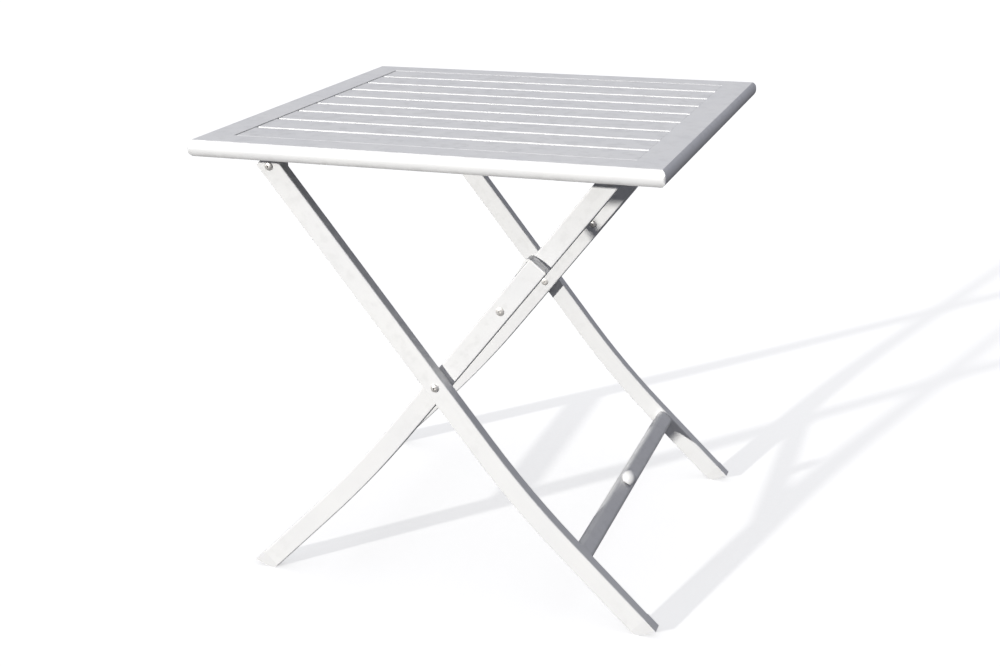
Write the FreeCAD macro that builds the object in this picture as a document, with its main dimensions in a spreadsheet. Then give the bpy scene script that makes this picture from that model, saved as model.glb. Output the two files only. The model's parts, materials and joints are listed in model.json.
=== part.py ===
import FreeCAD, Part
import math
import os
import Sketcher

# Folding slatted table: a square framed top of hollow aluminium profiles on two
# pairs of crossed legs.  X runs along the slats, Y across them and Z up; the
# origin lies on the floor under the middle of the top.

SIZES = [
    # top
    ("table_length", 700),
    ("table_depth", 700),
    ("table_height", 720),
    ("top_thickness", 24),
    ("rail_width", 50),
    ("rail_wall", 1.8),
    ("edge_bulge", 6),
    ("corner_radius", 4),
    ("ledge_width", 14),
    ("ledge_thickness", 2.5),
    ("slat_thickness", 18),
    ("slat_wall", 1.3),
    ("slat_edge_radius", 1.6),
    ("slat_gap", 6),
    ("slat_end_gap", 4),
    ("joint_gap", 0.3),
    ("rear_gap", 1),
    ("slat_plug_length", 16),
    ("slat_screw_inset", 6),
    ("key_arm", 62),
    ("key_width", 24),
    ("key_setback", 12),
    # bearers under the slats
    ("bearer_width", 30),
    ("bearer_height", 22),
    ("bearer_wall", 1.6),
    ("bearer_radius", 3),
    ("bearer_plug_length", 30),
    ("pivot_block_width", 24),
    ("pivot_block_length", 16),
    ("pivot_block_drop", 12),
    ("thread_depth", 20),
    # leg linkage
    ("pivot_spread", 500),
    ("pivot_drop", 26),
    ("scissor_drop", 317.5),
    ("leg_face_inset", 56.5),
    ("layer_gap", 1.8),
    ("leg_thickness", 20),
    ("leg_width", 32),
    ("arm_width", 30),
    ("tube_wall", 1.5),
    ("tube_radius", 2.2),
    ("leg_end_rise", 8),
    ("leg_end_chamfer_start", 13),
    ("inner_leg_overlap", 90),
    ("straight_below_scissor", 116),
    ("bend_length", 194),
    ("outer_bend_angle", 7.75),
    ("inner_bend_angle", 6.35),
    ("plug_length", 26),
    # feet
    ("tube_end_height", 4.5),
    ("shoe_step", 6.5),
    ("sole_flat", 8),
    ("shoe_length", 24),
    ("shoe_relief", 1.5),
    ("spigot_length", 22),
    # crossbars
    ("crossbar_width", 30),
    ("crossbar_thickness", 16),
    ("crossbar_radius", 7.5),
    ("crossbar_offset", 23.5),
    ("crossbar_inset", 2.5),
    # ball bumper on the outer crossbar
    ("ball_radius", 12.3),
    ("ball_rise", 8),
    ("ball_neck_radius", 7.5),
    ("ball_stem_radius", 3),
    ("ball_stem_length", 8),
    ("ball_forward", 24),
    ("ball_shift", 4),
    # inner leg end cap with its stop lug
    ("cap_flange", 3),
    ("lug_length", 38),
    ("lug_thickness", 4),
    ("lug_round", 7),
    ("hook_length", 10),
    ("hook_rise", 2.5),
    ("lug_reach", 9),
    ("lug_clearance", 0.4),
    # fasteners and fits
    ("pin_radius", 4),
    ("running_clearance", 0.05),
    ("bush_radius", 5.5),
    ("head_radius", 6.25),
    ("head_height", 3.2),
    ("low_head_height", 1.2),
    ("head_clearance", 0.2),
    ("socket_width", 4),
    ("screw_core_radius", 2.5),
    ("screw_core_length", 18),
    ("washer_radius", 9),
    ("washer_thickness", 1.4),
    ("slat_screw_radius", 2),
    ("slat_screw_bite", 7),
    ("bearer_screw_radius", 2.5),
    ("bearer_screw_bite", 6),
    ("small_head_factor", 1.8),
    ("small_head_height", 2.4),
    ("hole_clearance", 0.25),
]
SLAT_COUNT = 9
BEARER_SCREW_SLATS = range(2, SLAT_COUNT - 2)

doc = FreeCAD.newDocument("FoldingTable")
sheet = doc.addObject("Spreadsheet::Sheet", "Sizes")
for row, (alias, number) in enumerate(SIZES, start=1):
    sheet.set(f"A{row}", alias)
    sheet.set(f"B{row}", str(number))
    sheet.setAlias(f"B{row}", alias)
doc.recompute()


def named(text):
    """Write the sheet's aliases in a formula as references to the sheet."""
    for alias in sorted((alias for alias, _ in SIZES), key=len, reverse=True):
        text = text.replace(f"[{alias}]", f"Sizes.{alias}")
    return text


def value(text):
    """The number that a formula of sheet values gives."""
    result = sheet.evalExpression(named(text))
    return float(result.Value) if hasattr(result, "Value") else float(result)


# Formulas shared by several pieces.
SLAT_BOTTOM = "([table_height] - [slat_thickness])"
PIVOT_HEIGHT = f"({SLAT_BOTTOM} - [pivot_drop])"
SCISSOR_HEIGHT = f"({PIVOT_HEIGHT} - [scissor_drop])"
HALF_SPREAD = "([pivot_spread] / 2)"
ARM = "sqrt([pivot_spread]^2 / 4 + [scissor_drop]^2)"
LEG_ANGLE = f"(acos({HALF_SPREAD} / {ARM}) / 1 deg)"
TOGGLE_REACH = f"({ARM} - {HALF_SPREAD})"
LEG_FACE = "([table_depth] / 2 - [leg_face_inset])"
LAYER = "([leg_thickness] + [layer_gap])"
OUTER_LAYER = f"({LEG_FACE} - [leg_thickness] / 2)"
INNER_LAYER = f"({OUTER_LAYER} - {LAYER})"
ARM_LAYER = f"({INNER_LAYER} - {LAYER})"
OPENING = "([table_depth] - 2 * [rail_width] - [joint_gap] - [rear_gap])"
SLAT_WIDTH = f"(({OPENING} + [slat_gap]) / {SLAT_COUNT} - [slat_gap])"
SLAT_LENGTH = "([table_length] - 2 * [rail_width] - [slat_end_gap] - [joint_gap])"
SLAT_MIDDLE = "(([slat_end_gap] - [joint_gap]) / 2)"
TOGGLE_X = f"({TOGGLE_REACH} * cos({LEG_ANGLE}))"
TOGGLE_Z = f"({SCISSOR_HEIGHT} + {TOGGLE_REACH} * sin({LEG_ANGLE}))"


def origin_plane(body, role):
    return next(plane for plane in body.Origin.OriginFeatures if plane.Role == role)


def new_body(label):
    body = doc.addObject("PartDesign::Body", label)
    body.Label = label
    return body


def place(body, x="0", y="0", z="0", axis=(0, 1, 0), angle="0"):
    body.Placement = FreeCAD.Placement(
        FreeCAD.Vector(0, 0, 0), FreeCAD.Rotation(FreeCAD.Vector(*axis), 1)
    )
    for letter, text in zip("xyz", (x, y, z)):
        body.setExpression(f"Placement.Base.{letter}", named(text))
    body.setExpression("Placement.Rotation.Angle", named(angle))


def new_sketch(body, role, label, lift="0"):
    sketch = body.newObject("Sketcher::SketchObject", label)
    sketch.AttachmentSupport = [(origin_plane(body, role), "")]
    sketch.MapMode = "FlatFace"
    if lift != "0":
        sketch.setExpression("AttachmentOffset.Base.z", named(lift))
    return sketch


def hold(sketch, geometry, end, point):
    """Tie one end of a sketch element to a pair of formulas."""
    for letter, text, axis in zip("XY", point, (-2, -1)):
        if text == "0":
            sketch.addConstraint(Sketcher.Constraint("PointOnObject", geometry, end, axis))
            continue
        number = value(text)
        index = sketch.addConstraint(
            Sketcher.Constraint(f"Distance{letter}", -1, 1, geometry, end, number)
        )
        sketch.setExpression(f"Constraints[{index}]", named(text))


def arc_between(start, finish, radius, left):
    """The short arc from start to finish, bulging to the left or right of the chord."""
    chord = finish - start
    rise = math.sqrt(max(radius**2 - chord.Length**2 / 4, 0))
    normal = FreeCAD.Vector(-chord.y, chord.x, 0).normalize()
    centre = (start + finish) * 0.5 + normal * (-rise if left else rise)
    first, last = (finish, start) if left else (start, finish)
    begin, end = ((spot - centre) for spot in (first, last))
    ring = Part.Circle(centre, FreeCAD.Vector(0, 0, 1), radius)
    return Part.ArcOfCircle(ring, math.atan2(begin.y, begin.x), math.atan2(end.y, end.x))


def outline(sketch, points, arcs=None, closed=True):
    """Draw a chain of lines through points given as formulas; arcs replace some."""
    arcs = arcs or {}
    spots = [FreeCAD.Vector(value(x), value(y), 0) for x, y in points]
    count = len(points) if closed else len(points) - 1
    drawn = []
    for index in range(count):
        start, finish = spots[index], spots[(index + 1) % len(spots)]
        if index in arcs:
            radius, left = arcs[index]
            arc = arc_between(start, finish, value(radius), left)
            drawn.append((sketch.addGeometry(arc), left))
        else:
            drawn.append((sketch.addGeometry(Part.LineSegment(start, finish)), False))
    for index, (number, backwards) in enumerate(drawn):
        following, flipped = drawn[(index + 1) % len(drawn)]
        if closed or index + 1 < len(drawn):
            sketch.addConstraint(
                Sketcher.Constraint(
                    "Coincident", number, 1 if backwards else 2, following, 2 if flipped else 1
                )
            )
        hold(sketch, number, 2 if backwards else 1, points[index])
    if not closed:
        number, backwards = drawn[-1]
        hold(sketch, number, 1 if backwards else 2, points[-1])
    for index, (radius, _) in arcs.items():
        number = drawn[index][0]
        place_of = sketch.addConstraint(
            Sketcher.Constraint("Radius", number, value(radius))
        )
        sketch.setExpression(f"Constraints[{place_of}]", named(radius))


def circle(sketch, centre, radius):
    spot = FreeCAD.Vector(value(centre[0]), value(centre[1]), 0)
    number = sketch.addGeometry(
        Part.Circle(spot, FreeCAD.Vector(0, 0, 1), value(radius))
    )
    index = sketch.addConstraint(Sketcher.Constraint("Radius", number, value(radius)))
    sketch.setExpression(f"Constraints[{index}]", named(radius))
    hold(sketch, number, 3, centre)


def rounded(sketch, wide, high, radius, centre=("0", "0")):
    """A rectangle with round corners about a centre."""
    x, y = centre
    left, right = f"({x}) - ({wide}) / 2", f"({x}) + ({wide}) / 2"
    low, top = f"({y}) - ({high}) / 2", f"({y}) + ({high}) / 2"
    points = [
        (f"{left} + {radius}", low),
        (f"{right} - {radius}", low),
        (right, f"{low} + {radius}"),
        (right, f"{top} - {radius}"),
        (f"{right} - {radius}", top),
        (f"{left} + {radius}", top),
        (left, f"{top} - {radius}"),
        (left, f"{low} + {radius}"),
    ]
    outline(sketch, points, {1: (radius, False), 3: (radius, False),
                             5: (radius, False), 7: (radius, False)})


def hexagon(sketch, width):
    """A hexagon about the origin, width being the size across its flats."""
    side = f"({width} / sqrt(3))"
    points = []
    for step in range(6):
        turn = 60 * step + 30
        points.append((f"{side} * cos({turn})", f"{side} * sin({turn})"))
    outline(sketch, points)


def pad(body, sketch, length, label, symmetric=True, reverse=False):
    feature = body.newObject("PartDesign::Pad", label)
    feature.Profile = sketch
    feature.setExpression("Length", named(length))
    if symmetric:
        feature.SideType = "Symmetric"
    feature.Reversed = reverse
    return feature


def pocket(body, sketch, label, length=None, reverse=False):
    """Cut through the whole body both ways, or to a depth one way."""
    before = body_volume(body)
    feature = body.newObject("PartDesign::Pocket", label)
    feature.Profile = sketch
    if length is None:
        feature.Type = "ThroughAll"
        feature.SideType = "Symmetric"
    else:
        feature.setExpression("Length", named(length))
        feature.Reversed = reverse
    doc.recompute()
    if body_volume(body) > before - 0.01:
        raise ValueError(f"{label} in {body.Label} cuts nothing")
    return feature


def body_volume(body):
    doc.recompute()
    return body.Shape.Volume


def revolve(body, sketch, label):
    feature = body.newObject("PartDesign::Revolution", label)
    feature.Profile = sketch
    feature.ReferenceAxis = (sketch, ["V_Axis"])
    feature.Angle = 360
    return feature


def sweep(body, kind, profile, path, label):
    feature = body.newObject(kind, label)
    feature.Profile = profile
    feature.Spine = (path, [""])
    return feature


def group(label, pieces):
    """Identical small pieces as separate solids of one node.

    A group has no single feature history, so it is a compound of copies of
    its pattern piece at places worked out from the sheet.
    """
    feature = doc.addObject("Part::Feature", label)
    feature.Label = label
    feature.Shape = Part.makeCompound(pieces)
    return feature


def copy_at(pattern, position, axis=(0, 0, 1), angle=0):
    shape = pattern.Shape.copy()
    shape.Placement = FreeCAD.Placement(
        FreeCAD.Vector(*position), FreeCAD.Rotation(FreeCAD.Vector(*axis), angle)
    )
    return shape


def off_axis(outward, up, angle, side):
    """A point given outward and up from a pivot, in the frame of a tilted leg."""
    return (
        f"({outward}) * cos({angle}) - ({up}) * sin({angle})",
        f"{side} * (({outward}) * sin({angle}) + ({up}) * cos({angle}))",
    )


# ---------------------------------------------------------------- table top

def make_rail(label, length, half, turn):
    """A mitred rail: crowned outer edge, round corners, one hollow and a slat ledge.

    Its own frame has X along it, Y outward from the table's middle, Z up.
    """
    body = new_body(label)
    inner = f"({half} - [rail_width])"
    crown = f"({half} - [edge_bulge])"
    thick = "[top_thickness]"
    wall = "[rail_wall]"
    outside = new_sketch(body, "YZ_Plane", "section")
    crown_radius = f"(({thick}^2 / 4 + [edge_bulge]^2) / (2 * [edge_bulge]))"
    outline(outside, [(inner, "0"), (crown, "0"), (crown, thick), (inner, thick)],
            {1: (crown_radius, False)})
    pad(body, outside, length, "bar")
    hollow = new_sketch(body, "YZ_Plane", "hollow")
    hollow_radius = (f"((({thick} / 2 - {wall})^2 + ([edge_bulge] - {wall})^2)"
                     f" / (2 * ([edge_bulge] - {wall})))")
    outline(hollow, [(f"{inner} + {wall}", wall), (crown, wall),
                     (crown, f"{thick} - {wall}"),
                     (f"{inner} + {wall}", f"{thick} - {wall}")],
            {1: (hollow_radius, False)})
    pocket(body, hollow, "tube_hollow")
    ledge = new_sketch(body, "YZ_Plane", "ledge_section")
    ledge_top = "([top_thickness] - [slat_thickness])"
    outline(ledge, [(f"{inner} - [ledge_width]", f"{ledge_top} - [ledge_thickness]"),
                    (f"{inner} + {wall} / 2", f"{ledge_top} - [ledge_thickness]"),
                    (f"{inner} + {wall} / 2", ledge_top),
                    (f"{inner} - [ledge_width]", ledge_top)])
    pad(body, ledge, length, "ledge")
    reach = "([rail_width] + [ledge_width] + 5)"
    for end, name in ((1, "far"), (-1, "near")):
        mitre = new_sketch(body, "XY_Plane", f"{name}_mitre_line")
        tip = f"{end} * ({length} / 2)"
        turn_in = "([corner_radius] * (1 - cos(45)))"
        outline(mitre, [(f"{tip} - {end} * [corner_radius]", f"{half} + 5"),
                        (f"{tip} - {end} * [corner_radius]", half),
                        (f"{tip} - {end} * {turn_in}", f"{half} - {turn_in}"),
                        (f"{tip} - {end} * {reach}", f"{half} - {reach}"),
                        (f"{tip} + {end} * 5", f"{half} - {reach}"),
                        (f"{tip} + {end} * 5", f"{half} + 5")],
                {1: ("[corner_radius]", end > 0)})
        pocket(body, mitre, f"{name}_mitre")
    place(body, z="[table_height] - [top_thickness]", axis=(0, 0, 1), angle=str(turn))
    return body


def slat_y(number):
    pitch = f"({SLAT_WIDTH} + [slat_gap])"
    middle = "(([joint_gap] - [rear_gap]) / 2)"
    return f"({middle} + {number - (SLAT_COUNT - 1) / 2} * {pitch})"


SCREW_X = {
    "left": f"(-{SLAT_LENGTH} / 2 + [slat_screw_inset])",
    "right": f"({SLAT_LENGTH} / 2 - [slat_screw_inset])",
}


def drill_ledge(rail, sign):
    """Clearance holes for the slat screws in a side rail's ledge."""
    holes = new_sketch(rail, "XY_Plane", "slat_screw_holes")
    name = "right" if sign > 0 else "left"
    outward = f"{sign} * ({SLAT_MIDDLE} + {SCREW_X[name]})"
    for number in range(SLAT_COUNT):
        circle(holes, (f"{-sign} * {slat_y(number)}", outward),
               "[slat_screw_radius] + [hole_clearance]")
    pocket(rail, holes, "slat_screw_clearance")


def make_slat(number):
    """One hollow slat; its own frame is at the middle of its underside."""
    body = new_body(f"slat_{number + 1}")
    middle = ("0", "[slat_thickness] / 2")
    outside = new_sketch(body, "YZ_Plane", "section")
    rounded(outside, SLAT_WIDTH, "[slat_thickness]", "[slat_edge_radius]", middle)
    pad(body, outside, SLAT_LENGTH, "bar")
    hollow = new_sketch(body, "YZ_Plane", "hollow")
    rounded(hollow, f"({SLAT_WIDTH} - 2 * [slat_wall])",
            "([slat_thickness] - 2 * [slat_wall])",
            "([slat_edge_radius] - [slat_wall])", middle)
    pocket(body, hollow, "tube_hollow")
    holes = new_sketch(body, "XY_Plane", "end_screw_holes")
    for name in ("left", "right"):
        circle(holes, (SCREW_X[name], "0"), "[slat_screw_radius]")
    if number in BEARER_SCREW_SLATS:
        for sign in (-1, 1):
            circle(holes, (f"{sign} * {HALF_SPREAD} - {SLAT_MIDDLE}", "0"),
                   "[bearer_screw_radius]")
    pocket(body, holes, "screw_holes", "[slat_wall] + 1", reverse=True)
    place(body, x=SLAT_MIDDLE, y=slat_y(number), z=SLAT_BOTTOM)
    return body


def make_slat_plug():
    """The block that closes a slat's end and takes the slat screw."""
    body = new_body("slat_plug_pattern")
    wide = f"({SLAT_WIDTH} - 2 * [slat_wall])"
    high = "([slat_thickness] - 2 * [slat_wall])"
    section = new_sketch(body, "YZ_Plane", "section")
    rounded(section, wide, high, "([slat_edge_radius] - [slat_wall])",
            ("0", "[slat_thickness] / 2"))
    pad(body, section, "[slat_plug_length]", "block", symmetric=False)
    hole = new_sketch(body, "XY_Plane", "screw_hole_centre")
    circle(hole, ("[slat_screw_inset]", "0"), "[slat_screw_radius]")
    pocket(body, hole, "screw_hole", "[slat_wall] + [slat_screw_bite]", reverse=True)
    return body


def make_key():
    """The L-shaped insert that joins two rails inside a mitred corner."""
    body = new_body("key_pattern")
    near = "[key_setback]"
    wide = "([key_setback] + [key_width])"
    arm = "([key_setback] + [key_arm])"
    plan = new_sketch(body, "XY_Plane", "plan")
    outline(plan, [(f"-{near}", f"-{near}"), (f"-{near}", f"-{arm}"),
                   (f"-{wide}", f"-{arm}"), (f"-{wide}", f"-{wide}"),
                   (f"-{arm}", f"-{wide}"), (f"-{arm}", f"-{near}")])
    pad(body, plan, "[top_thickness] - 2 * [rail_wall]", "plate", symmetric=False)
    return body


def make_bearer(label, side, half_length):
    """A cross tube under the slats whose ends carry one pair of pivots."""
    body = new_body(label)
    middle = ("0", "-[bearer_height] / 2")
    outside = new_sketch(body, "XZ_Plane", "section")
    rounded(outside, "[bearer_width]", "[bearer_height]", "[bearer_radius]", middle)
    pad(body, outside, f"2 * {half_length}", "bar")
    hollow = new_sketch(body, "XZ_Plane", "hollow")
    rounded(hollow, "([bearer_width] - 2 * [bearer_wall])",
            "([bearer_height] - 2 * [bearer_wall])",
            "([bearer_radius] - [bearer_wall])", middle)
    pocket(body, hollow, "tube_hollow")
    holes = new_sketch(body, "XY_Plane", "screw_holes")
    for number in BEARER_SCREW_SLATS:
        circle(holes, ("0", slat_y(number)), "[bearer_screw_radius] + [hole_clearance]")
    pocket(body, holes, "screw_clearance")
    place(body, x=f"{side} * {HALF_SPREAD}", z=SLAT_BOTTOM)
    return body


def make_bearer_plug():
    """The threaded pivot block on a bearer's end: a spigot in the tube and a deep face.

    Its outer face is at y = 0, and it reaches down past the pivot.
    """
    body = new_body("bearer_plug_pattern")
    low = "(-[pivot_drop] - [pivot_block_drop])"
    face = new_sketch(body, "XZ_Plane", "block_section")
    rounded(face, "[pivot_block_width]", f"(-{low})", "[bearer_radius]",
            ("0", f"{low} / 2"))
    pad(body, face, "[pivot_block_length]", "block", symmetric=False, reverse=True)
    section = new_sketch(body, "XZ_Plane", "spigot_section", "-[pivot_block_length]")
    rounded(section, "([bearer_width] - 2 * [bearer_wall])",
            "([bearer_height] - 2 * [bearer_wall])",
            "([bearer_radius] - [bearer_wall])", ("0", "-[bearer_height] / 2"))
    pad(body, section, "[bearer_plug_length]", "spigot", symmetric=False, reverse=True)
    thread = new_sketch(body, "XZ_Plane", "thread_centre")
    circle(thread, ("0", "-[pivot_drop]"), "[pin_radius]")
    pocket(body, thread, "thread", "[thread_depth]")
    return body


# ------------------------------------------------------------------ the legs

def leg_section(body, width, grow, label, lift):
    """The tube's round-cornered section, grown or shrunk by an offset."""
    sketch = new_sketch(body, "YZ_Plane", label, lift)
    rounded(sketch, f"([leg_thickness] + 2 * {grow})", f"({width} + 2 * {grow})",
            f"([tube_radius] + {grow})")
    return sketch


def foot_run(pivot_height, straight, bend):
    """The straight length between the bend and the tube's lower end."""
    fall = f"({LEG_ANGLE} - {bend})"
    radius = f"([bend_length] / ({bend} * pi / 180))"
    drop = (f"({radius} * sin({bend}) * sin({LEG_ANGLE})"
            f" - {radius} * (1 - cos({bend})) * cos({LEG_ANGLE}))")
    return (f"(({pivot_height} - {straight} * sin({LEG_ANGLE}) - {drop}"
            f" - [leg_width] / 2 * cos({fall}) - [tube_end_height]) / sin({fall}))")


def bend_end(straight, bend):
    """Where the bend ends, outward and up from the leg's pivot."""
    radius = f"([bend_length] / ({bend} * pi / 180))"
    along = f"({straight} + {radius} * sin({bend}))"
    rise = f"({radius} * (1 - cos({bend})))"
    outward = f"({along} * cos({LEG_ANGLE}) + {rise} * sin({LEG_ANGLE}))"
    up = f"(-{along} * sin({LEG_ANGLE}) + {rise} * cos({LEG_ANGLE}))"
    return outward, up


def make_leg(label, layer_y, leg):
    """A bent rectangular tube: straight through the pivots, bent, then straight.

    Its own frame has the first pivot at the origin and X down the leg.
    """
    body = new_body(label)
    side, bend, straight = leg["side"], leg["bend"], leg["straight"]
    lead = leg["lead"]
    radius = f"([bend_length] / ({bend} * pi / 180))"
    run = foot_run(leg["height"], straight, bend)
    path = new_sketch(body, "XZ_Plane", "centre_line")
    turn_end = (f"{straight} + {radius} * sin({bend})",
                f"{side} * {radius} * (1 - cos({bend}))")
    last = (f"{turn_end[0]} + {run} * cos({bend})",
            f"{turn_end[1]} + {side} * {run} * sin({bend})")
    outline(path, [(f"-{lead}", "0"), (straight, "0"), turn_end, last],
            {1: (radius, side < 0)}, closed=False)
    outside = leg_section(body, "[leg_width]", "0", "section", f"-{lead}")
    sweep(body, "PartDesign::AdditivePipe", outside, path, "tube")
    inside = leg_section(body, "[leg_width]", "(-[tube_wall])", "hollow", f"-{lead}")
    before = body_volume(body)
    sweep(body, "PartDesign::SubtractivePipe", inside, path, "tube_hollow")
    if body_volume(body) > before / 2:
        raise ValueError(f"the tube of {label} is not hollow")
    holes = new_sketch(body, "XZ_Plane", "pivot_holes")
    for along, hole in leg["holes"]:
        circle(holes, (along, "0"), hole)
    pocket(body, holes, "pivot_bores")
    place(body, x=leg["x"], y=layer_y, z=leg["z"], angle=leg["angle"])
    return body


def end_cut(body, side, width, lead):
    """Trim a leg's top level, with a 45 degree chamfer at the outer corner."""
    rise = "[leg_end_rise]"
    start = "[leg_end_chamfer_start]"
    cut = new_sketch(body, "XZ_Plane", "end_line")
    corners = [
        (f"{width} + 20", rise),
        (f"-{start}", rise),
        (f"-{start} - {width}", f"{rise} - {width}"),
        (f"-{start} - {width}", f"{rise} + {lead}"),
        (f"{width} + 20", f"{rise} + {lead}"),
    ]
    outline(cut, [off_axis(out, up, LEG_ANGLE, side) for out, up in corners])
    pocket(body, cut, "level_end")


def make_top_plug(label, layer_y, member, width):
    """The moulded plug in a level-cut end; it is also the pivot's bush."""
    body = new_body(label)
    side = member["side"]
    lead = member["lead"]
    section = new_sketch(body, "YZ_Plane", "section", f"-{lead}")
    rounded(section, "([leg_thickness] - 2 * [tube_wall])", f"({width} - 2 * [tube_wall])",
            "([tube_radius] - [tube_wall])")
    pad(body, section, f"{lead} + [plug_length] / 2", "block", symmetric=False)
    end_cut(body, side, width, lead)
    bore = new_sketch(body, "XZ_Plane", "bore_centre")
    circle(bore, ("0", "0"), "[pin_radius] + [running_clearance]")
    pocket(body, bore, "bore")
    place(body, x=member["x"], y=layer_y, z=member["z"], angle=member["angle"])
    return body


def make_shoe(label, layer_y, leg):
    """A moulded shoe: a spigot in the tube and a wedge with a level sole.

    Its own frame is at the middle of the tube's end, with X on down the leg.
    """
    body = new_body(label)
    side, bend = leg["side"], leg["bend"]
    fall = f"({LEG_ANGLE} - {bend})"
    half = "([leg_width] / 2)"
    height = f"({half} * cos({fall}) + [tube_end_height])"
    toe = f"(-{half} * sin({fall}) + [shoe_step])"
    inset = f"({half} - [shoe_relief])"
    corners = [
        (f"-{inset} * sin({fall})", f"-{inset} * cos({fall})"),
        (toe, f"-{height}"),
        (f"{toe} + [sole_flat]", f"-{height}"),
        (f"{half} * sin({fall}) + [shoe_length] * cos({fall})",
         f"{half} * cos({fall}) - [shoe_length] * sin({fall})"),
        (f"{half} * sin({fall})", f"{half} * cos({fall})"),
    ]
    wedge = new_sketch(body, "XZ_Plane", "side_view")
    outline(wedge, [off_axis(out, up, fall, side) for out, up in corners])
    pad(body, wedge, "[leg_thickness]", "wedge")
    spigot = new_sketch(body, "YZ_Plane", "spigot_section")
    rounded(spigot, "([leg_thickness] - 2 * [tube_wall])", "([leg_width] - 2 * [tube_wall])",
            "([tube_radius] - [tube_wall])")
    pad(body, spigot, "[spigot_length]", "spigot", symmetric=False, reverse=True)
    outward, up = bend_end(leg["straight"], bend)
    run = foot_run(leg["height"], leg["straight"], bend)
    place(body, x=f"{leg['x']} + {side} * ({outward} + {run} * cos({fall}))", y=layer_y,
          z=f"{leg['z']} + {up} - {run} * sin({fall})",
          angle=fall if side > 0 else f"180 - {fall}")
    return body


def crossbar_centre(leg):
    """The middle of a crossbar's section, as world formulas for x and z."""
    fall = f"({LEG_ANGLE} - {leg['bend']})"
    outward, up = bend_end(leg["straight"], leg["bend"])
    lift = "(([leg_width] - [crossbar_thickness]) / 2 - [crossbar_inset])"
    x = (f"{leg['x']} + {leg['side']} * ({outward} + [crossbar_offset] * cos({fall})"
         f" + {lift} * sin({fall}))")
    z = f"{leg['z']} + {up} - [crossbar_offset] * sin({fall}) + {lift} * cos({fall})"
    return x, z, fall


def make_crossbar(label, half_length, leg, stem_hole):
    """A flat oval tube between two legs, set a little below their outward faces."""
    body = new_body(label)
    outside = new_sketch(body, "XZ_Plane", "section")
    rounded(outside, "[crossbar_width]", "[crossbar_thickness]", "[crossbar_radius]")
    pad(body, outside, f"2 * {half_length}", "bar")
    hollow = new_sketch(body, "XZ_Plane", "hollow")
    rounded(hollow, "([crossbar_width] - 2 * [tube_wall])",
            "([crossbar_thickness] - 2 * [tube_wall])", "([crossbar_radius] - [tube_wall])")
    pocket(body, hollow, "tube_hollow")
    if stem_hole:
        hole = new_sketch(body, "XY_Plane", "stem_hole_centre", "[crossbar_thickness] / 2")
        circle(hole, ("-[ball_shift]", "-[ball_forward]"), "[ball_stem_radius]")
        pocket(body, hole, "stem_hole", "[tube_wall] + 1")
    x, z, fall = crossbar_centre(leg)
    place(body, x=x, z=z, angle=fall if leg["side"] > 0 else f"180 - {fall}")
    return body


def make_ball(leg):
    """The ball bumper: a stem in the crossbar, a neck and a ball."""
    body = new_body("bumper_ball")
    face = "[crossbar_thickness] / 2"
    centre = f"({face} + [ball_rise])"
    meet = "sqrt([ball_radius]^2 - [ball_neck_radius]^2)"
    side_view = new_sketch(body, "XZ_Plane", "half_section")
    outline(side_view, [
        ("0", f"{face} - [ball_stem_length]"),
        ("[ball_stem_radius]", f"{face} - [ball_stem_length]"),
        ("[ball_stem_radius]", face),
        ("[ball_neck_radius]", face),
        ("[ball_neck_radius]", f"{centre} - {meet} + 2"),
        ("[ball_radius] * 0.93", f"{centre} - [ball_radius] * sqrt(1 - 0.93^2)"),
        ("0", f"{centre} + [ball_radius]"),
    ], {5: ("[ball_radius]", False)})
    revolve(body, side_view, "turned_ball")
    x, z, fall = crossbar_centre(leg)
    place(body, x=f"{x} - [ball_shift] * cos({fall})", y="-[ball_forward]",
          z=f"{z} + [ball_shift] * sin({fall})", angle=fall)
    return body


# ------------------------------------------------------------- upper arms

def make_arm(label, layer_y, arm):
    """The straight tube from the right bearer to the toggle pivot."""
    body = new_body(label)
    lead = arm["lead"]
    length = f"({lead} + {HALF_SPREAD} + [arm_width])"
    outside = leg_section(body, "[arm_width]", "0", "section", f"-{lead}")
    pad(body, outside, length, "tube", symmetric=False)
    inside = leg_section(body, "[arm_width]", "(-[tube_wall])", "hollow", f"-{lead}")
    pocket(body, inside, "tube_hollow", f"{length} + 1", reverse=True)
    end_cut(body, arm["side"], "[arm_width]", lead)
    round_end(body)
    holes = new_sketch(body, "XZ_Plane", "pivot_holes")
    circle(holes, ("0", "0"), "[pin_radius] + [running_clearance]")
    circle(holes, (HALF_SPREAD, "0"), "[bush_radius]")
    pocket(body, holes, "pivot_bores")
    place(body, x=arm["x"], y=layer_y, z=arm["z"], angle=arm["angle"])
    return body


def round_end(body):
    """Cut an arm's lower end to a half round about the toggle pivot."""
    half = "([arm_width] / 2)"
    far = f"({HALF_SPREAD} + 2 * [arm_width])"
    cut = new_sketch(body, "XZ_Plane", "round_end_line")
    outline(cut, [(HALF_SPREAD, f"-{half}"), (HALF_SPREAD, f"-{half} - 5"),
                  (far, f"-{half} - 5"), (far, f"{half} + 5"),
                  (HALF_SPREAD, f"{half} + 5"), (HALF_SPREAD, half),
                  (f"{HALF_SPREAD} + {half}", "0")],
            {5: (half, True), 6: (half, True)})
    pocket(body, cut, "half_round_end")


def make_round_plug(label, layer_y, arm):
    """The moulded plug in an arm's half-round end; the toggle bush passes it."""
    body = new_body(label)
    section = new_sketch(body, "YZ_Plane", "section", f"{HALF_SPREAD} - [plug_length] / 2")
    rounded(section, "([leg_thickness] - 2 * [tube_wall])",
            "([arm_width] - 2 * [tube_wall])", "([tube_radius] - [tube_wall])")
    pad(body, section, "[plug_length] / 2 + [arm_width]", "block", symmetric=False)
    round_end(body)
    bore = new_sketch(body, "XZ_Plane", "bore_centre")
    circle(bore, (HALF_SPREAD, "0"), "[bush_radius]")
    pocket(body, bore, "bore")
    place(body, x=arm["x"], y=layer_y, z=arm["z"], angle=arm["angle"])
    return body


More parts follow.
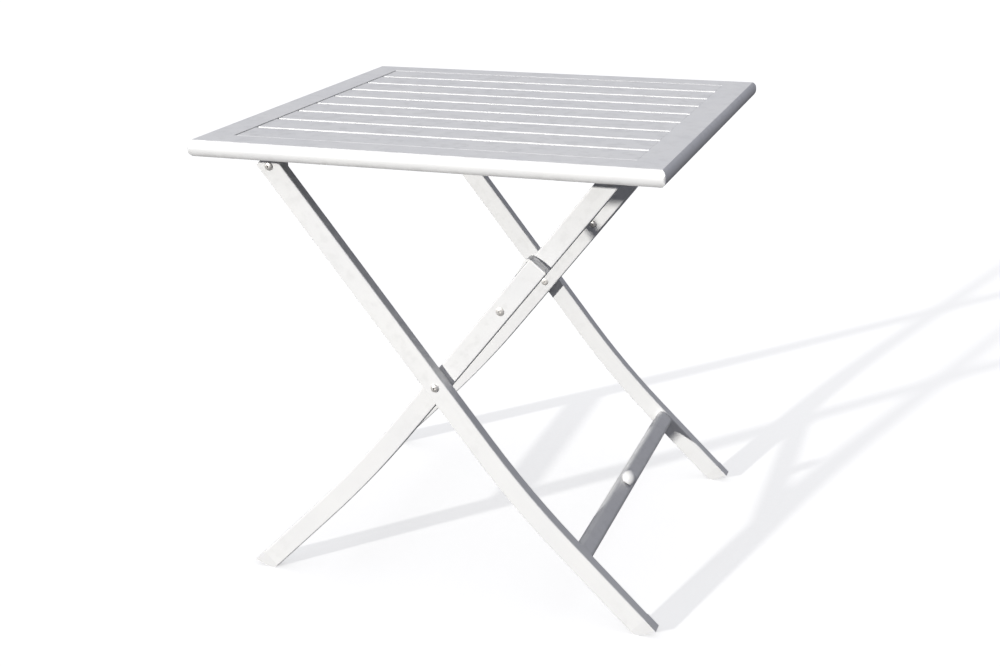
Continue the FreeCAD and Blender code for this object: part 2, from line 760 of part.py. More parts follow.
def make_end_cap(label, layer_y, leg, inward):
    """The cap on an inner leg's top end, humped, with the hook that stops the toggle."""
    body = new_body(label)
    side, lead = leg["side"], leg["lead"]
    section = new_sketch(body, "YZ_Plane", "spigot_section", f"-{lead}")
    rounded(section, "([leg_thickness] - 2 * [tube_wall])",
            "([leg_width] - 2 * [tube_wall])", "([tube_radius] - [tube_wall])")
    pad(body, section, "[spigot_length]", "spigot", symmetric=False)
    flange = new_sketch(body, "YZ_Plane", "flange_section", f"-{lead} - [cap_flange]")
    rounded(flange, "[leg_thickness]", "[leg_width]", "[tube_radius]")
    pad(body, flange, "[cap_flange]", "flange", symmetric=False)
    near = f"{side} * ([leg_width] / 2)"
    far = f"{side} * ([leg_width] / 2 + [lug_thickness])"
    hook_far = f"{side} * ([leg_width] / 2 + [hook_rise])"
    arm_edge = f"{side} * ([arm_width] / 2 + [lug_clearance])"
    tip = f"(-{lead} - [cap_flange])"
    crest = f"({tip} + [lug_round])"
    root = f"{side} * [leg_width] / 4"
    plate = new_sketch(body, "XZ_Plane", "lug_side_view")
    outline(plate, [(tip, root), (f"{tip} + [cap_flange]", root),
                    (f"{tip} + [cap_flange]", near), (f"{tip} + [lug_length]", near),
                    (crest, far), (tip, far)])
    pad(body, plate, "[leg_thickness]", "lug_root")
    inner_face = f"{inward} * [leg_thickness] / 2"
    reach = f"{inward} * ([leg_thickness] / 2 + [layer_gap] + [lug_reach])"
    hook = new_sketch(body, "YZ_Plane", "hook_section", crest)
    outline(hook, [(f"{inward} * [tube_radius]", near), (inner_face, near),
                   (inner_face, arm_edge), (reach, arm_edge), (reach, hook_far),
                   (f"{inward} * [tube_radius]", hook_far)])
    pad(body, hook, "[hook_length]", "hook", symmetric=False)
    corner = new_sketch(body, "XZ_Plane", "round_corner")
    past = f"{side} * ([leg_width] / 2 + [lug_thickness] + 5)"
    turned = f"{side} * ([leg_width] / 2 + [lug_thickness] - [lug_round])"
    outline(corner, [(crest, past), (crest, far), (tip, turned),
                     (f"{tip} - 5", turned), (f"{tip} - 5", past)],
            {1: ("[lug_round]", side < 0)})
    pocket(body, corner, "rounded_corner")
    place(body, x=leg["x"], y=layer_y, z=leg["z"], angle=leg["angle"])
    return body


# -------------------------------------------------------------- fasteners

def make_screw(label, head, head_height, shank, length, core=None, socket=None):
    """A domed screw along Z: the head's seat is z = 0 and the shank runs down."""
    body = new_body(label)
    edge = f"({head_height} * 0.35)"
    crown = f"(({head}^2 + ({head_height} - {edge})^2) / (2 * ({head_height} - {edge})))"
    points = [("0", f"-({length})"), (shank, f"-({length})"), (shank, "0"),
              (head, "0"), (head, edge), ("0", head_height)]
    if core:
        radius, depth = core
        points = [("0", f"-({length})"), (radius, f"-({length})"),
                  (radius, f"-({length}) + {depth}"), (shank, f"-({length}) + {depth}"),
                  (shank, "0"), (head, "0"), (head, edge), ("0", head_height)]
    profile = new_sketch(body, "XZ_Plane", "half_section")
    outline(profile, points, {len(points) - 2: (crown, False)})
    revolve(body, profile, "turned_screw")
    if socket:
        recess = new_sketch(body, "XY_Plane", "socket_outline", head_height)
        hexagon(recess, socket)
        pocket(body, recess, "socket", f"{head_height} * 0.75")
    return body


def make_sleeve(label, head_height, length):
    """A sleeve nut: a domed head, a barrel and a threaded bore from its end."""
    body = make_screw(label, "[head_radius]", head_height, "[pin_radius]", length,
                      socket="[socket_width]")
    bore = new_sketch(body, "XY_Plane", "bore_centre", f"-({length})")
    circle(bore, ("0", "0"), "[screw_core_radius]")
    pocket(body, bore, "threaded_bore", "[screw_core_length]", reverse=True)
    return body


def make_ring(label, outer, inner, length):
    """A plain bush or washer along Z from z = 0 up."""
    body = new_body(label)
    plan = new_sketch(body, "XY_Plane", "plan")
    circle(plan, ("0", "0"), outer)
    circle(plan, ("0", "0"), inner)
    pad(body, plan, length, "ring", symmetric=False)
    return body


def pivot_pair(pattern, x, z, distance, head_inward=False):
    """One pattern piece at each side of the table, on a pivot axis along Y.

    distance is that of the pattern's z = 0 face from the middle plane; the
    pattern's +Z points outward, or inward where it is turned.
    """
    pieces = []
    for sign in (-1, 1):
        outward = sign > 0
        points_plus_y = outward != head_inward
        turn = -90 if points_plus_y else 90
        pieces.append(copy_at(pattern, (value(x), sign * value(distance), value(z)),
                              (1, 0, 0), turn))
    return pieces


# ------------------------------------------------------------ the assembly

OUTER_LEG = {
    "side": 1,
    "x": f"-{HALF_SPREAD}",
    "z": PIVOT_HEIGHT,
    "height": PIVOT_HEIGHT,
    "angle": LEG_ANGLE,
    "lead": "[leg_width]",
    "bend": "[outer_bend_angle]",
    "straight": f"({ARM} + [straight_below_scissor])",
    "holes": [("0", "[pin_radius] + [running_clearance]"), (ARM, "[bush_radius]")],
}
INNER_LEG = {
    "side": -1,
    "x": TOGGLE_X,
    "z": TOGGLE_Z,
    "height": TOGGLE_Z,
    "angle": f"180 - {LEG_ANGLE}",
    "lead": "[inner_leg_overlap]",
    "bend": "[inner_bend_angle]",
    "straight": f"({TOGGLE_REACH} + [straight_below_scissor])",
    "holes": [("0", "[bush_radius]"), (TOGGLE_REACH, "[bush_radius]")],
}
UPPER_ARM = {
    "side": -1,
    "x": HALF_SPREAD,
    "z": PIVOT_HEIGHT,
    "angle": f"180 - {LEG_ANGLE}",
    "lead": "[arm_width]",
}
ENDS = (("front", -1), ("rear", 1))

nodes = []

HALF_LENGTH = "([table_length] / 2)"
HALF_DEPTH = "([table_depth] / 2)"
front_rail = make_rail("front_rail", "[table_length]", HALF_DEPTH, 180)
rear_rail = make_rail("rear_rail", "[table_length]", HALF_DEPTH, 0)
left_rail = make_rail("left_rail", "[table_depth]", HALF_LENGTH, 90)
right_rail = make_rail("right_rail", "[table_depth]", HALF_LENGTH, -90)
drill_ledge(left_rail, -1)
drill_ledge(right_rail, 1)
nodes += [front_rail, rear_rail, left_rail, right_rail]
nodes += [make_slat(number) for number in range(SLAT_COUNT)]

LEFT_BEARER_END = f"({OUTER_LAYER} - [leg_thickness] / 2 - [layer_gap])"
RIGHT_BEARER_END = f"({ARM_LAYER} - [leg_thickness] / 2 - [layer_gap])"
nodes.append(make_bearer("left_bearer", -1, f"({LEFT_BEARER_END} - [pivot_block_length])"))
nodes.append(make_bearer("right_bearer", 1, f"({RIGHT_BEARER_END} - [pivot_block_length])"))

for name, sign in ENDS:
    layer = f"{sign} * {OUTER_LAYER}"
    leg = make_leg(f"outer_leg_{name}", layer, OUTER_LEG)
    end_cut(leg, OUTER_LEG["side"], "[leg_width]", OUTER_LEG["lead"])
    nodes.append(leg)
    nodes.append(make_top_plug(f"outer_leg_plug_{name}", layer, OUTER_LEG, "[leg_width]"))
    nodes.append(make_shoe(f"outer_foot_{name}", layer, OUTER_LEG))
    layer = f"{sign} * {INNER_LAYER}"
    nodes.append(make_leg(f"inner_leg_{name}", layer, INNER_LEG))
    nodes.append(make_end_cap(f"inner_leg_cap_{name}", layer, INNER_LEG, -sign))
    nodes.append(make_shoe(f"inner_foot_{name}", layer, INNER_LEG))
    layer = f"{sign} * {ARM_LAYER}"
    nodes.append(make_arm(f"upper_arm_{name}", layer, UPPER_ARM))
    nodes.append(make_top_plug(f"upper_arm_plug_{name}", layer, UPPER_ARM, "[arm_width]"))
    nodes.append(make_round_plug(f"upper_arm_end_plug_{name}", layer, UPPER_ARM))

nodes.append(make_crossbar("outer_crossbar", f"({OUTER_LAYER} - [leg_thickness] / 2)",
                           OUTER_LEG, True))
nodes.append(make_crossbar("inner_crossbar", f"({INNER_LAYER} - [leg_thickness] / 2)",
                           INNER_LEG, False))
nodes.append(make_ball(OUTER_LEG))

# Pattern pieces: each is copied to its places and isn't a node itself.
THROUGH_LEG = "[leg_thickness]"
INTO_BEARER = f"({LAYER} + [thread_depth])"
slat_plug = make_slat_plug()
key = make_key()
bearer_plug = make_bearer_plug()
mount_screw = make_screw("mount_screw_pattern", "[head_radius]", "[head_height]",
                         "[pin_radius]", INTO_BEARER, socket="[socket_width]")
low_mount_screw = make_screw("low_mount_screw_pattern", "[head_radius]",
                             "[low_head_height]", "[pin_radius]", INTO_BEARER,
                             socket="[socket_width]")
scissor_screw = make_screw("scissor_screw_pattern", "[head_radius]", "[head_height]",
                           "[pin_radius]", THROUGH_LEG, socket="[socket_width]")
scissor_sleeve = make_sleeve("scissor_sleeve_pattern", "[low_head_height]", THROUGH_LEG)
toggle_screw = make_screw("toggle_screw_pattern", "[head_radius]", "[low_head_height]",
                          "[screw_core_radius]", "[screw_core_length]",
                          socket="[socket_width]")
toggle_sleeve = make_sleeve("toggle_sleeve_pattern", "[head_height]",
                            f"({LAYER} + [leg_thickness] + [head_clearance])")
SMALL_HEAD = "[small_head_factor]"
slat_screw = make_screw("slat_screw_pattern", f"([slat_screw_radius] * {SMALL_HEAD})",
                        "[small_head_height]", "[slat_screw_radius]",
                        "([ledge_thickness] + [slat_wall] + [slat_screw_bite])")
bearer_screw = make_screw("bearer_screw_pattern",
                          f"([bearer_screw_radius] * {SMALL_HEAD})",
                          "[small_head_height]", "[bearer_screw_radius]",
                          "([bearer_height] + [slat_wall] + [bearer_screw_bite])")
bush = make_ring("bush_pattern", "[bush_radius]", "[pin_radius] + [running_clearance]",
                 "[leg_thickness]")
washer = make_ring("washer_pattern", "[washer_radius]", "[pin_radius] + [hole_clearance]",
                   "[washer_thickness]")
doc.recompute()

slat_ends = []
slat_screws = []
for number in range(SLAT_COUNT):
    y = value(slat_y(number))
    for name, sign in (("left", -1), ("right", 1)):
        tip = value(SLAT_MIDDLE) + sign * value(SLAT_LENGTH) / 2
        slat_ends.append(copy_at(slat_plug, (tip, y, value(SLAT_BOTTOM)),
                                 angle=0 if sign < 0 else 180))
        x = value(f"{SLAT_MIDDLE} + {SCREW_X[name]}")
        under = value(f"{SLAT_BOTTOM} - [ledge_thickness]")
        slat_screws.append(copy_at(slat_screw, (x, y, under), (1, 0, 0), 180))
nodes.append(group("slat_end_plugs", slat_ends))
nodes.append(group("slat_screws", slat_screws))

corner_keys = []
for turn, (x_sign, y_sign) in ((0, (1, 1)), (90, (-1, 1)), (180, (-1, -1)), (270, (1, -1))):
    spot = (x_sign * value(HALF_LENGTH), y_sign * value(HALF_DEPTH),
            value("[table_height] - [top_thickness] + [rail_wall]"))
    corner_keys.append(copy_at(key, spot, angle=turn))
nodes.append(group("corner_keys", corner_keys))

bearer_plugs = []
bearer_screws = []
for side, end in ((-1, LEFT_BEARER_END), (1, RIGHT_BEARER_END)):
    x = side * value(HALF_SPREAD)
    for sign, turn in ((-1, 0), (1, 180)):
        bearer_plugs.append(copy_at(bearer_plug, (x, sign * value(end), value(SLAT_BOTTOM)),
                                    angle=turn))
    for number in BEARER_SCREW_SLATS:
        under = value(f"{SLAT_BOTTOM} - [bearer_height]")
        bearer_screws.append(copy_at(bearer_screw, (x, value(slat_y(number)), under),
                                     (1, 0, 0), 180))
nodes.append(group("bearer_plugs", bearer_plugs))
nodes.append(group("bearer_screws", bearer_screws))

TOGGLE = (TOGGLE_X, TOGGLE_Z)
SCISSOR = ("0", SCISSOR_HEIGHT)
LEFT_PIVOT = (f"-{HALF_SPREAD}", PIVOT_HEIGHT)
RIGHT_PIVOT = (HALF_SPREAD, PIVOT_HEIGHT)


def outer_face(layer):
    return f"({layer} + [leg_thickness] / 2)"


def inner_face(layer):
    return f"({layer} - [leg_thickness] / 2)"


nodes.append(group("outer_leg_pivot_screws",
                   pivot_pair(mount_screw, *LEFT_PIVOT,
                              f"{outer_face(OUTER_LAYER)} + [head_clearance]")))
nodes.append(group("upper_arm_pivot_screws",
                   pivot_pair(low_mount_screw, *RIGHT_PIVOT,
                              f"{outer_face(ARM_LAYER)} + [head_clearance]")))
nodes.append(group("bearer_washers",
                   pivot_pair(washer, *LEFT_PIVOT, LEFT_BEARER_END)
                   + pivot_pair(washer, *RIGHT_PIVOT, RIGHT_BEARER_END)))
nodes.append(group("scissor_screws",
                   pivot_pair(scissor_screw, *SCISSOR, outer_face(OUTER_LAYER))))
nodes.append(group("scissor_sleeves",
                   pivot_pair(scissor_sleeve, *SCISSOR, inner_face(INNER_LAYER), True)))
nodes.append(group("outer_leg_bushes",
                   pivot_pair(bush, *SCISSOR, inner_face(OUTER_LAYER))))
nodes.append(group("inner_leg_bushes",
                   pivot_pair(bush, *SCISSOR, inner_face(INNER_LAYER))
                   + pivot_pair(bush, *TOGGLE, inner_face(INNER_LAYER))))
nodes.append(group("scissor_washers",
                   pivot_pair(washer, *SCISSOR, outer_face(INNER_LAYER))))
nodes.append(group("toggle_screws",
                   pivot_pair(toggle_screw, *TOGGLE,
                              f"{outer_face(INNER_LAYER)} + [head_clearance]")))
nodes.append(group("toggle_sleeves",
                   pivot_pair(toggle_sleeve, *TOGGLE, inner_face(ARM_LAYER), True)))
nodes.append(group("upper_arm_bushes",
                   pivot_pair(bush, *TOGGLE, inner_face(ARM_LAYER))))
nodes.append(group("toggle_washers",
                   pivot_pair(washer, *TOGGLE, outer_face(ARM_LAYER))))

# ------------------------------------------------------- checks and export

doc.recompute()
for item in doc.Objects:
    if "Invalid" in item.State or "Error" in item.State:
        raise ValueError(f"{item.Label} failed to build")
for node in nodes:
    if node.Shape.isNull() or not node.Shape.isValid():
        raise ValueError(f"{node.Label} has no valid shape")
    if not node.Shape.Solids:
        raise ValueError(f"{node.Label} holds no solid")

os.makedirs("parts", exist_ok=True)
for node in nodes:
    node.Shape.exportStep(f"parts/{node.Label}.step")

print(f"{len(nodes)} nodes")
print(f"leg angle {value(LEG_ANGLE):.4f}, arm {value(ARM):.3f}, "
      f"toggle ({value(TOGGLE_X):.3f}, {value(TOGGLE_Z):.3f}), "
      f"scissor height {value(SCISSOR_HEIGHT):.3f}")
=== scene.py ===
"""Looks of the folding slatted table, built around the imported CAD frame."""

import json
import math

import bmesh
import bpy
from mathutils import Matrix, Vector


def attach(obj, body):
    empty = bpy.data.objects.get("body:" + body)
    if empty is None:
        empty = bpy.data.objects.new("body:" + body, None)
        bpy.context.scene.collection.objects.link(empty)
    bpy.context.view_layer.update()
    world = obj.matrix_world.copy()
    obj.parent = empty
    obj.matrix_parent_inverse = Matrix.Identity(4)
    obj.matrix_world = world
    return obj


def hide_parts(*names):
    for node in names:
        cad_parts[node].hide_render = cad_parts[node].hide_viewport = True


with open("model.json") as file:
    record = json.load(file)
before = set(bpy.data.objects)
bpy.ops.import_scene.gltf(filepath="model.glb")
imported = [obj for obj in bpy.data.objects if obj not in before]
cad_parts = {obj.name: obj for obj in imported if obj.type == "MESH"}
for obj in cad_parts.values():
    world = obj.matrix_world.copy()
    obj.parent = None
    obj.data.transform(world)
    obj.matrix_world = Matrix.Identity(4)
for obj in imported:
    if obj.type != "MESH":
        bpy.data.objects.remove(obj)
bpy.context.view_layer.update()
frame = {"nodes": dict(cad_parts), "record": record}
nodes = frame["nodes"]

# Camera.
CAMERA_PLACE = (0.738, -2.117, 1.138)
CAMERA_YAW = math.radians(-19.206)
CAMERA_PITCH = math.radians(-19.466)
CAMERA_ROLL = math.radians(-0.698)
CAMERA_LENS = 51.63
CAMERA_SENSOR = 36.0

# Light: one low soft sun from the front left and an even, cooler dome.
SUN_TRAVEL = (1.88, 3.24, -1.0)
SUN_STRENGTH = 3.6
SUN_ANGLE = math.radians(1.6)
SUN_COLOUR = (1.0, 0.985, 0.955)
DOME_TOP = (0.62, 0.625, 0.655)
DOME_SIDE = (0.112, 0.122, 0.195)
BACKDROP = 1.0
FLOOR_SIZE = 60.0
FLOOR_DROP = 0.0002
FLOOR_BOUNCE = 0.10
FLOOR_SHADE = 0.56
FLOOR_GLOW = 0.61
FADE_HEIGHTS = (0.05, 0.75)

# Screw heads, in metres.
DOME_STEPS = 7
DOME_SHARE = 0.78
RIM_SHARE = 0.34
HEAD_SEGMENTS = 48
HEAD_ANGLES = [2 * math.pi * step / HEAD_SEGMENTS for step in range(HEAD_SEGMENTS)]
SOCKET_SHARE = 0.32
PIN_RADIUS = 0.004
TIP_CHAMFER = 0.0008
SHARP_ANGLE = math.radians(35)
LOW_HEAD = 0.0012
HIGH_HEAD = 0.0032
HIGH_HEADED = ("outer_leg_pivot_screws", "scissor_screws", "toggle_sleeves")


# ------------------------------------------------------------------ materials

WHITE = (0.86, 0.86, 0.85)
WHITE_SHADE = (0.835, 0.837, 0.835)
COAT_GRAIN = 0.00011


class Nodes:
    """A short way to write a material's node tree."""

    def __init__(self, name):
        self.material = bpy.data.materials.new(name)
        self.material.use_nodes = True
        self.tree = self.material.node_tree
        self.tree.nodes.clear()
        self.output = self.add("ShaderNodeOutputMaterial")
        self.shader = self.add("ShaderNodeBsdfPrincipled")
        self.link(self.shader.outputs["BSDF"], self.output.inputs["Surface"])
        self.coordinates = self.add("ShaderNodeTexCoord").outputs["Object"]

    def add(self, kind, **settings):
        node = self.tree.nodes.new(kind)
        for name, value in settings.items():
            setattr(node, name, value)
        return node

    def link(self, source, target):
        self.tree.links.new(source, target)

    def noise(self, scale, detail=3.0, roughness=0.55, stretch=None):
        source = self.coordinates
        if stretch:
            mapping = self.add("ShaderNodeMapping")
            mapping.inputs["Scale"].default_value = stretch
            self.link(source, mapping.inputs["Vector"])
            source = mapping.outputs["Vector"]
        node = self.add("ShaderNodeTexNoise")
        node.inputs["Scale"].default_value = scale
        node.inputs["Detail"].default_value = detail
        node.inputs["Roughness"].default_value = roughness
        self.link(source, node.inputs["Vector"])
        return node.outputs["Fac"]

    def ramp(self, source, low, high, start=0.0, end=1.0):
        """A colour or grey that runs from low to high as source goes start to end."""
        node = self.add("ShaderNodeValToRGB")
        for element, place, shade in zip(node.color_ramp.elements, (start, end), (low, high)):
            element.position = place
            shade = (shade, shade, shade) if isinstance(shade, float) else shade
            element.color = (*shade, 1.0)
        self.link(source, node.inputs["Fac"])
        return node.outputs["Color"]

    def mix(self, factor, low, high, blend="MIX"):
        node = self.add("ShaderNodeMix", data_type="RGBA", blend_type=blend)
        for socket, value in ((node.inputs[0], factor), (node.inputs[6], low),
                              (node.inputs[7], high)):
            if isinstance(value, bpy.types.NodeSocket):
                self.link(value, socket)
            else:
                socket.default_value = value
        return node.outputs[2]

    def math(self, operation, first, second):
        node = self.add("ShaderNodeMath", operation=operation)
        for socket, value in zip(node.inputs, (first, second)):
            if isinstance(value, bpy.types.NodeSocket):
                self.link(value, socket)
            else:
                socket.default_value = value
        return node.outputs[0]

    def bump(self, height, distance, strength=1.0, under=None):
        node = self.add("ShaderNodeBump")
        node.inputs["Distance"].default_value = distance
        node.inputs["Strength"].default_value = strength
        self.link(height, node.inputs["Height"])
        if under:
            self.link(under, node.inputs["Normal"])
        return node.outputs["Normal"]

    def set(self, **values):
        """Set shader sockets; underscores stand for spaces in their names."""
        for name, value in values.items():
            socket = self.shader.inputs[name.replace("_", " ")]
            if isinstance(value, bpy.types.NodeSocket):
                self.link(value, socket)
            else:
                socket.default_value = value


def powder_coat(name, light, shade):
    """White powder coat: fine grain, faint cloudiness, dust and worn arrises."""
    m = Nodes(name)
    cloud = m.noise(9.0, 4.0)
    colour = m.ramp(cloud, shade, light, 0.35, 0.65)
    speckle = m.ramp(m.noise(1100.0, 2.0, 0.6), 0.0, 1.0, 0.40, 0.72)
    colour = m.mix(m.math("MULTIPLY", speckle, 0.12), colour, (0.70, 0.70, 0.69, 1.0))
    dust = m.ramp(m.noise(420.0, 2.0), 0.0, 1.0, 0.66, 0.74)
    colour = m.mix(m.math("MULTIPLY", dust, 0.10), colour, (0.60, 0.60, 0.59, 1.0))
    edge = m.ramp(m.add("ShaderNodeNewGeometry").outputs["Pointiness"], 0.0, 1.0, 0.56, 0.62)
    scuff = m.ramp(m.noise(55.0, 4.0), 0.0, 1.0, 0.50, 0.62)
    wear = m.math("MULTIPLY", m.math("MULTIPLY", edge, scuff), 0.35)
    colour = m.mix(wear, colour, (0.66, 0.66, 0.65, 1.0))
    peel = m.noise(900.0, 2.0, 0.4)
    ripple = m.noise(160.0, 2.0)
    normal = m.bump(peel, COAT_GRAIN)
    normal = m.bump(ripple, COAT_GRAIN * 0.8, 0.7, normal)
    m.set(Base_Color=colour, Normal=normal, Specular_IOR_Level=0.45,
          Roughness=m.ramp(m.noise(35.0, 4.0), 0.34, 0.47, 0.3, 0.7),
          Coat_Weight=0.08, Coat_Roughness=0.22)
    return m.material


def moulded_plastic(name, light, shade, roughness=0.42):
    """Moulded plastic: fine spark-erosion grain and slight flow shading."""
    m = Nodes(name)
    flow = m.noise(30.0, 3.0, stretch=(1.0, 2.5, 1.0))
    colour = m.ramp(flow, shade, light, 0.3, 0.7)
    grain = m.noise(1500.0, 3.0, 0.7)
    m.set(Base_Color=colour, Normal=m.bump(grain, 0.00004), Specular_IOR_Level=0.5,
          Roughness=m.ramp(m.noise(60.0, 3.0), roughness - 0.06, roughness + 0.08, 0.3, 0.7),
          Subsurface_Weight=0.06, Subsurface_Radius=(0.004, 0.004, 0.003))
    return m.material


def turned_steel(name):
    """Stainless screw heads: fine turning marks, smudges and a warm sheen."""
    m = Nodes(name)
    smudge = m.noise(90.0, 4.0)
    colour = m.ramp(smudge, (0.66, 0.64, 0.61), (0.84, 0.82, 0.79), 0.3, 0.7)
    marks = m.noise(700.0, 2.0, 0.5, stretch=(1.0, 9.0, 1.0))
    m.set(Base_Color=colour, Metallic=0.65, Normal=m.bump(marks, 0.00003),
          Roughness=m.ramp(m.noise(240.0, 3.0), 0.32, 0.48, 0.3, 0.7))
    return m.material


def cast_metal(name):
    """Die-cast keys: grey, grainy and dull."""
    m = Nodes(name)
    colour = m.ramp(m.noise(50.0, 5.0), (0.42, 0.42, 0.43), (0.62, 0.62, 0.62), 0.3, 0.7)
    m.set(Base_Color=colour, Metallic=0.9, Normal=m.bump(m.noise(500.0, 4.0, 0.7), 0.0001),
          Roughness=m.ramp(m.noise(120.0, 3.0), 0.45, 0.65, 0.3, 0.7))
    return m.material


MATERIALS = {
    "painted_rails": powder_coat("rail_coat", WHITE, WHITE_SHADE),
    "painted_slats": powder_coat("slat_coat", WHITE, WHITE_SHADE),
    # The legs get a darker copy of the same white coat so that their sunlit faces render less
    # bright: painted shade.
    "painted_legs": powder_coat("leg_coat_painted_shade", (0.80, 0.80, 0.79), (0.775, 0.777, 0.775)),
    "painted_bearers": powder_coat("bearer_coat", WHITE, WHITE_SHADE),
    "stainless": turned_steel("stainless_turned"),
    "cast_keys": cast_metal("cast_key_metal"),
    "nylon": moulded_plastic("nylon_natural", (0.80, 0.79, 0.75), (0.74, 0.73, 0.69), 0.38),
    "foot_plastic": moulded_plastic("foot_moulding", (0.76, 0.76, 0.755), (0.73, 0.73, 0.725)),
    "bumper_plastic": moulded_plastic("bumper_moulding", (0.86, 0.86, 0.85),
                                      (0.82, 0.82, 0.81), 0.34),
    # The slat end plugs are near black so that the gaps at the rail ends render dark: painted
    # shade in those gaps.
    "dark_plastic": moulded_plastic("slat_plug_painted_gap_shade", (0.085, 0.085, 0.09),
                                    (0.06, 0.06, 0.065), 0.5),
    "white_plastic": moulded_plastic("cap_moulding", (0.84, 0.84, 0.83), (0.80, 0.80, 0.795)),
}
for part in frame["record"]["subparts"]:
    mesh = nodes[part["node"]].data
    mesh.materials.clear()
    mesh.materials.append(MATERIALS[part["material_slot"]])

# ------------------------------------------------------- pieces made in Blender

def new_piece(name, mesh, body, slot):
    """Link a mesh as a piece that rides on a body and has a slot's finish."""
    piece = bpy.data.objects.new(name, mesh)
    bpy.context.scene.collection.objects.link(piece)
    mesh.materials.append(MATERIALS[slot])
    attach(piece, body)
    return piece


def head_profile(radius, height):
    """Half section of a button head from its rim to its socket, as (out, up) pairs."""
    rim = height * RIM_SHARE
    last = math.sin(math.radians(90.0 * DOME_SHARE))
    points = [(radius * 0.985, 0.0), (radius, rim * 0.4), (radius, rim * 0.8)]
    for step in range(1, DOME_STEPS + 1):
        turn = math.radians(90.0 * step / DOME_STEPS) * DOME_SHARE
        points.append((radius * (math.cos(turn) * 0.97 + 0.03 * (1 - step / DOME_STEPS)),
                       rim + (height - rim) * math.sin(turn) / last))
    return points


def join_rings(mesh, rings):
    """Join each ring of vertices to the next with a band of four-sided faces."""
    for low, high in zip(rings, rings[1:]):
        for index in range(HEAD_SEGMENTS):
            following = (index + 1) % HEAD_SEGMENTS
            mesh.faces.new((low[index], low[following], high[following], high[index]))


def button_head(mesh, place, outward, radius, height):
    """A domed head with a hexagon socket, added to a bmesh."""
    turn = Vector((0, 0, 1)).rotation_difference(Vector(outward)).to_matrix()
    base = Vector(place)

    def ring(points):
        return [mesh.verts.new(base + turn @ Vector(point)) for point in points]

    rings = []
    for out, up in head_profile(radius, height):
        rings.append(ring([(out * math.cos(a), out * math.sin(a), up) for a in HEAD_ANGLES]))
    flat = radius * SOCKET_SHARE
    for scale, up in ((1.18, height), (1.0, height * 0.93), (1.0, height * 0.30)):
        points = []
        for a in HEAD_ANGLES:
            side = (a + math.pi / 6) % (math.pi / 3) - math.pi / 6
            hexagon = flat / math.cos(side) if scale == 1.0 else flat * scale
            points.append((hexagon * math.cos(a), hexagon * math.sin(a), up))
        rings.append(ring(points))
    join_rings(mesh, rings)
    mesh.faces.new(rings[-1])
    mesh.faces.new(list(reversed(rings[0])))


def solid_spans(node):
    """The boxes of a node's separate solids, found by walking its linked vertices."""
    mesh = bmesh.new()
    mesh.from_mesh(nodes[node].data)
    bmesh.ops.remove_doubles(mesh, verts=mesh.verts, dist=1e-6)
    left = set(mesh.verts)
    spans = []
    while left:
        stack = [left.pop()]
        group = []
        while stack:
            vertex = stack.pop()
            group.append(vertex.co.copy())
            for edge in vertex.link_edges:
                other = edge.other_vert(vertex)
                if other in left:
                    left.remove(other)
                    stack.append(other)
        spans.append((Vector([min(c[i] for c in group) for i in range(3)]),
                      Vector([max(c[i] for c in group) for i in range(3)])))
    mesh.free()
    return sorted(spans, key=lambda span: tuple(round(value, 5) for value in span[0]))


def pivot_screws(node, body, head_inward):
    """Replace a node of pivot screws or sleeve nuts by detailed ones."""
    mesh = bmesh.new()
    for low, high in solid_spans(node):
        sign = 1.0 if low.y > 0 else -1.0
        outward = -sign if head_inward else sign
        centre = (low + high) / 2
        radius = (high.x - low.x) / 2
        tip = high.y if outward > 0 else low.y
        end = low.y if outward > 0 else high.y
        height = HIGH_HEAD if node in HIGH_HEADED else LOW_HEAD
        seat = tip - outward * height
        button_head(mesh, (centre.x, seat, centre.z), (0, outward, 0), radius, height)
        shank(mesh, centre, seat, end, outward)
    data = bpy.data.meshes.new(node + "_turned")
    bmesh.ops.recalc_face_normals(mesh, faces=mesh.faces)
    mesh.to_mesh(data)
    mesh.free()
    for polygon in data.polygons:
        polygon.use_smooth = True
    piece = new_piece(node + "_turned", data, body, "stainless")
    data.set_sharp_from_angle(angle=SHARP_ANGLE)
    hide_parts(node)


def shank(mesh, centre, seat, end, outward):
    """The screw's shank: a chamfered rod from under the head to its tip."""
    profile = [(PIN_RADIUS, seat), (PIN_RADIUS, end + outward * TIP_CHAMFER),
               (PIN_RADIUS - TIP_CHAMFER, end)]
    rings = []
    for out, y in profile:
        rings.append([mesh.verts.new((centre.x + out * math.cos(a), y,
                                      centre.z + out * math.sin(a))) for a in HEAD_ANGLES])
    join_rings(mesh, rings)
    mesh.faces.new(rings[0])
    mesh.faces.new(list(reversed(rings[-1])))


for node, body, head_inward in (
        ("outer_leg_pivot_screws", "tabletop", False),
        ("upper_arm_pivot_screws", "tabletop", False),
        ("scissor_screws", "outer_legs", False),
        ("scissor_sleeves", "inner_legs", True),
        ("toggle_sleeves", "upper_arms", True)):
    pivot_screws(node, body, head_inward)


# ---------------------------------------------------------------- the setting

floor_mesh = bpy.data.meshes.new("floor")
half = FLOOR_SIZE / 2
floor_mesh.from_pydata([(-half, -half, 0), (half, -half, 0), (half, half, 0), (-half, half, 0)],
                       [], [(0, 1, 2, 3)])
floor = bpy.data.objects.new("floor", floor_mesh)
bpy.context.scene.collection.objects.link(floor)
floor.location.z = -FLOOR_DROP
paper = Nodes("pale_paper")
seen = paper.add("ShaderNodeLightPath").outputs["Is Camera Ray"]
mottle = paper.ramp(paper.noise(0.6, 2.0), 0.985, 1.0, 0.3, 0.7)
shade = paper.mix(seen, (FLOOR_BOUNCE,) * 3 + (1.0,), (FLOOR_SHADE,) * 3 + (1.0,))
paper.set(Base_Color=paper.mix(1.0, shade, mottle, "MULTIPLY"), Roughness=0.95,
          Specular_IOR_Level=0.1, Emission_Color=(1.0, 1.0, 1.0, 1.0),
          Emission_Strength=paper.math("MULTIPLY", seen, FLOOR_GLOW))
floor_mesh.materials.append(paper.material)

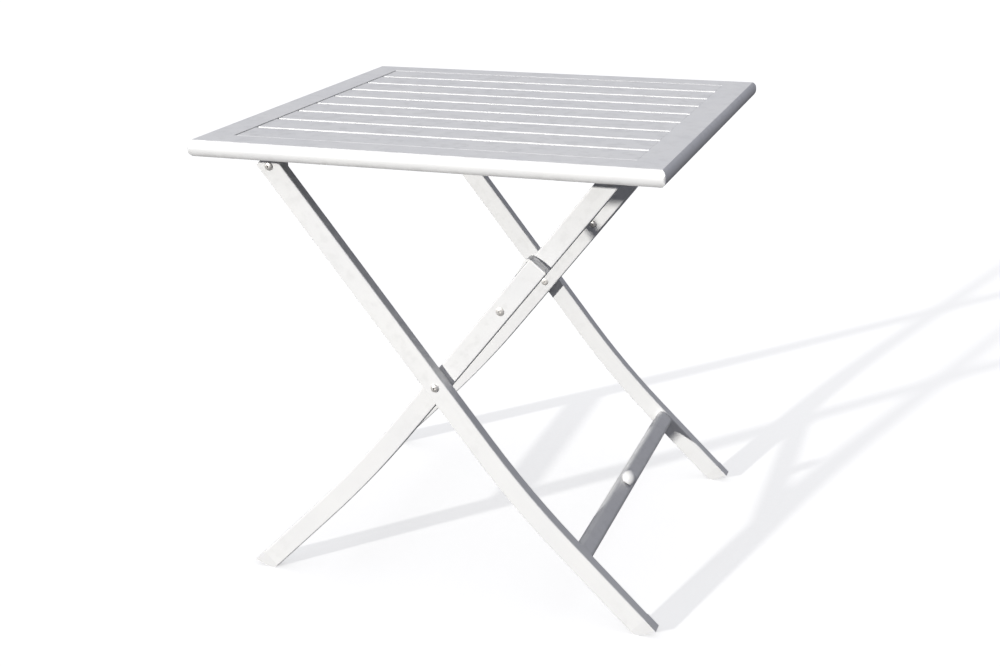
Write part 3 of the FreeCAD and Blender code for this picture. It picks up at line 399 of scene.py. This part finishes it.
world = bpy.data.worlds.new("studio_dome")
bpy.context.scene.world = world
world.use_nodes = True
dome = world.node_tree
background = dome.nodes["Background"]
direction = dome.nodes.new("ShaderNodeTexCoord").outputs["Generated"]
height = dome.nodes.new("ShaderNodeSeparateXYZ")
dome.links.new(direction, height.inputs[0])
fade = dome.nodes.new("ShaderNodeValToRGB")
for element, place, colour in zip(fade.color_ramp.elements, FADE_HEIGHTS, (DOME_SIDE, DOME_TOP)):
    element.position = place
    element.color = (*colour, 1.0)
dome.links.new(height.outputs["Z"], fade.inputs["Fac"])
seen = dome.nodes.new("ShaderNodeLightPath").outputs["Is Camera Ray"]
tint = dome.nodes.new("ShaderNodeMix")
tint.data_type = "RGBA"
dome.links.new(seen, tint.inputs[0])
dome.links.new(fade.outputs["Color"], tint.inputs[6])
tint.inputs[7].default_value = (BACKDROP, BACKDROP, BACKDROP, 1.0)
dome.links.new(tint.outputs[2], background.inputs["Color"])

sun_data = bpy.data.lights.new("low_sun", "SUN")
sun_data.energy = SUN_STRENGTH
sun_data.angle = SUN_ANGLE
sun_data.color = SUN_COLOUR
sun = bpy.data.objects.new("low_sun", sun_data)
sun.rotation_euler = Vector(SUN_TRAVEL).to_track_quat("-Z", "Y").to_euler()
bpy.context.scene.collection.objects.link(sun)

forward = Vector((math.sin(CAMERA_YAW) * math.cos(CAMERA_PITCH),
                  math.cos(CAMERA_YAW) * math.cos(CAMERA_PITCH), math.sin(CAMERA_PITCH)))
right = Vector((math.cos(CAMERA_YAW), -math.sin(CAMERA_YAW), 0.0))
up = right.cross(forward)
across = right * math.cos(CAMERA_ROLL) + up * math.sin(CAMERA_ROLL)
upward = up * math.cos(CAMERA_ROLL) - right * math.sin(CAMERA_ROLL)
camera_data = bpy.data.cameras.new("camera")
camera_data.lens = CAMERA_LENS
camera_data.sensor_width = CAMERA_SENSOR
camera = bpy.data.objects.new("camera", camera_data)
camera.matrix_world = (Matrix.Translation(CAMERA_PLACE)
                       @ Matrix((across, upward, -forward)).transposed().to_4x4())
bpy.context.scene.collection.objects.link(camera)
bpy.context.scene.camera = camera
bpy.context.scene.view_settings.view_transform = "Standard"
